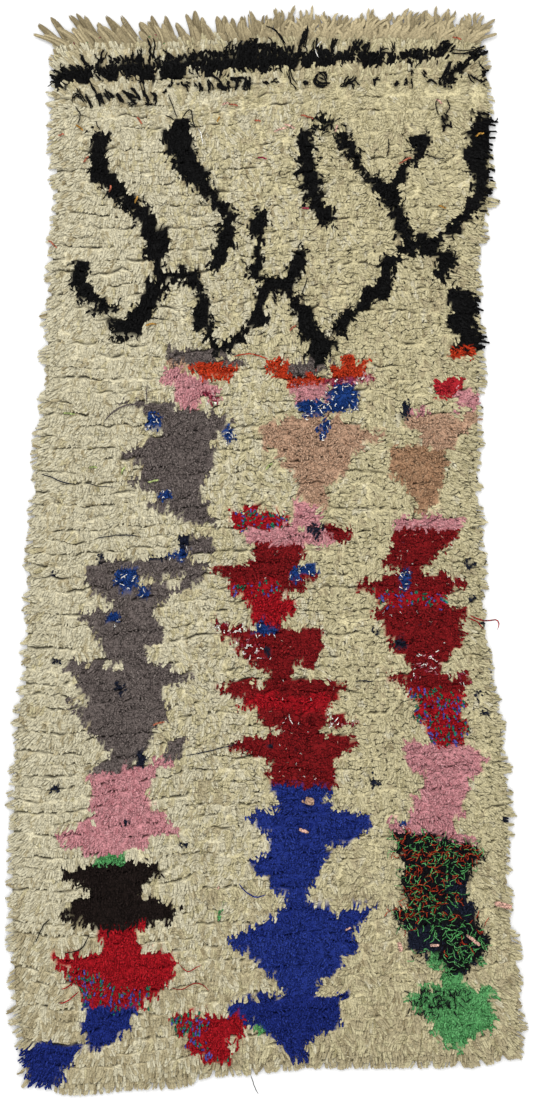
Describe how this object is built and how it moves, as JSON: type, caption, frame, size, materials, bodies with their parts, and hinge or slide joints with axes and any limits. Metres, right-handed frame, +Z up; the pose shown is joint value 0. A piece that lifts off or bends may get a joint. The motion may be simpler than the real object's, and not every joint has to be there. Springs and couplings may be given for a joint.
{
  "type": "azilal rug",
  "caption": "Shaggy hand-knotted wool rug, laid flat, with ridged rows of ivory pile, ragged rim locks and a warp fringe at its head; knotted motifs in dyed yarns.",
  "frame": {"origin": "middle of the rug's box, on the floor that it lies on", "axes": "+Z up out of the pile, +Y along the rug towards the fringed head, +X to the right as seen from above with the head away"},
  "size_m": [0.9971, 2.0892, 0.0255],
  "materials": {
    "ivory_pile": "hand-spun undyed wool, cut pile, matt",
    "warp_wool": "undyed wool warp drawn into locks, matt"
  },
  "bodies": {
    "root": {"pile_field": "ivory_pile", "head_fringe": "warp_wool"}
  },
  "joints": []
}
